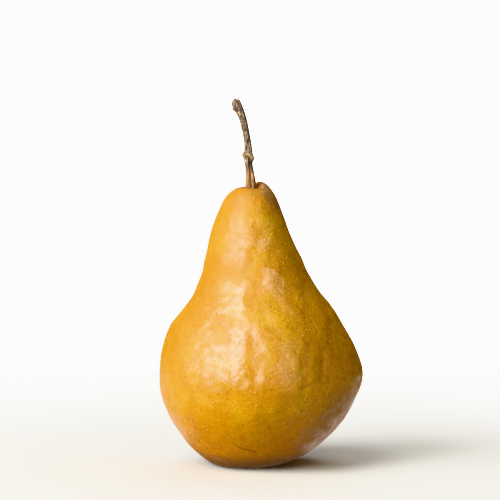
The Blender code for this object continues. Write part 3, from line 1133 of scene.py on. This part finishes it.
def glowing_stage(name, vertices, faces, colour, strength):
    """A piece that glows, but throws neither light on what is matt nor a shadow."""
    material = finish(new_material(name)[0], {
        "Base Color": (0, 0, 0),
        "Specular IOR Level": 0,
        "Emission Color": colour,
        "Emission Strength": strength,
    })
    glowing = add_piece(name, vertices, faces, material)
    glowing.visible_diffuse = False
    glowing.visible_shadow = False
    return glowing


def make_floor():
    """A pale floor that fades out into the backdrop, and a darker one that only sends light back up."""
    floor = flat_floor("floor", 0.0, FLOOR_WHITE)
    material = floor.data.materials[0]
    tree = material.node_tree
    away = distance_from(tree, tree.nodes.new("ShaderNodeTexCoord").outputs["Object"], (0.0, 0.0, 0.0))
    finish(material, {"Alpha": ramp(tree, away, *FLOOR_FADE, 1.0, 0.0)})
    floor.visible_diffuse = False
    floor.visible_shadow = False
    flat_floor("floor_bounce", -BOUNCE_BELOW, BOUNCE_GREY).visible_camera = False


def make_shine(name, strength, corners):
    """A glowing sheet under the floor that shows in the pear's gloss only, a painted reflection of a bright
    floor.
    """
    vertices = [(x * MM, y * MM, -SHINE_BELOW) for x, y in corners]
    glowing_stage(name, vertices, [range(len(corners))], SHINE_WHITE, strength).visible_camera = False


def make_backdrop():
    """A wide bright shell that only the camera sees."""
    vertices = []
    faces = []
    for ring in range(BACKDROP_RINGS + 1):
        tilt = math.pi * ring / BACKDROP_RINGS
        reach, height = BACKDROP_RADIUS * math.sin(tilt), BACKDROP_RADIUS * math.cos(tilt)
        for side in range(BACKDROP_SIDES):
            turn = math.tau * side / BACKDROP_SIDES
            vertices.append((reach * math.cos(turn), reach * math.sin(turn), height))
    for start in range(0, BACKDROP_RINGS * BACKDROP_SIDES, BACKDROP_SIDES):
        for side in range(BACKDROP_SIDES):
            here, after = start + side, start + (side + 1) % BACKDROP_SIDES
            faces.append((here, after, after + BACKDROP_SIDES, here + BACKDROP_SIDES))
    backdrop = glowing_stage("backdrop", vertices, faces, BACKDROP_GREY, BACKDROP_STRENGTH)
    backdrop.visible_glossy = False


# Colours of the lights: plain white, a faintly yellow white and a warm white
PLAIN = (1.0, 1.0, 1.0)
WINDOW_WHITE = (1.0, 1.0, 0.82)
WARM = (1.0, 0.84, 0.6)
# Soft lights: name, azimuth, elevation, distance, width, height, brightness and colour.
# The gloss doesn't show the first ones, and the windows light nothing else.
ROOM_LIGHTS = (
    ("key", -146, 18, 1.1, 0.9, 1.2, 6.7, PLAIN),
    ("key_top", -131, 63, 1.1, 0.7, 0.35, 4.0, PLAIN),
    ("fill", -54, 46, 1.3, 0.4, 0.9, 2.9, WARM),
    ("right", -15, 20, 1.2, 0.5, 1.0, 0.1, WARM),
)
BACK_LIGHT = ("back", 95, 55, 1.2, 0.9, 0.6, 2.6, PLAIN)
WINDOWS = (
    ("window", -120, 30, 1.1, 0.55, 1.6, 40.0, WINDOW_WHITE),
    ("window_left", -147, 30, 1.1, 0.5, 1.6, 22.0, WINDOW_WHITE),
    ("window_top", -137, 68, 1.1, 0.9, 0.4, 15.0, WINDOW_WHITE),
    ("window_right", -57, 27, 1.3, 0.7, 2.0, 7.5, PLAIN),
)
LIGHTS_AIM = Vector((0, 0, 0.06))
WORLD_STRENGTH = 0.03


def make_softbox(name, azimuth, elevation, distance, width, height, brightness, colour):
    """A rectangular soft light aimed at the pear from a direction in degrees."""
    light = bpy.data.lights.new(name, "AREA")
    light.shape = "RECTANGLE"
    light.size = width
    light.size_y = height
    light.energy = brightness * math.pi * width * height
    light.color = colour
    lamp = bpy.data.objects.new(name, light)
    azimuth, elevation = math.radians(azimuth), math.radians(elevation)
    level = math.cos(elevation)
    direction = Vector((level * math.cos(azimuth), level * math.sin(azimuth), math.sin(elevation)))
    lamp.location = LIGHTS_AIM + direction * distance
    lamp.rotation_euler = direction.to_track_quat("Z", "Y").to_euler()
    lamp.visible_camera = False
    bpy.context.scene.collection.objects.link(lamp)
    return lamp


def make_lights():
    """Soft light from the front left, warm light from the right and above, light from behind, and windows."""
    for light in ROOM_LIGHTS:
        make_softbox(*light).visible_glossy = False
    make_softbox(*BACK_LIGHT)
    for window in WINDOWS:
        make_softbox(*window).visible_diffuse = False
    world = bpy.data.worlds.new("studio")
    bpy.context.scene.world = world
    world.use_nodes = True
    background = world.node_tree.nodes["Background"]
    background.inputs["Color"].default_value = (*WARM, 1)
    background.inputs["Strength"].default_value = WORLD_STRENGTH


def make_camera():
    """A long lens from the photo's side, aimed so that the pear lands where the photo has it."""
    middle = Vector((0, 0, (cad_box[0][2] + cad_box[1][2]) / 2))
    camera = bpy.data.cameras.new("camera")
    camera.lens = CAMERA_LENS
    camera.sensor_width = CAMERA_SENSOR
    camera.clip_start = CAMERA_CLIP
    holder = bpy.data.objects.new("camera", camera)
    away = Vector((0, -math.cos(CAMERA_ELEVATION), math.sin(CAMERA_ELEVATION)))
    holder.location = middle + away * CAMERA_DISTANCE
    aim = middle + Vector((-AIM_LEFT, 0, AIM_UP)) * MM
    holder.rotation_euler = (holder.location - aim).to_track_quat("Z", "Y").to_euler()
    bpy.context.scene.collection.objects.link(holder)
    bpy.context.scene.camera = holder


bpy.context.scene.view_settings.view_transform = "Khronos PBR Neutral"
bpy.context.scene.view_settings.look = "None"
make_camera()
make_lights()
make_backdrop()
make_floor()
for shine in SHINES:
    make_shine(*shine)
make_pores(make_skin())
make_stem()
make_calyx()
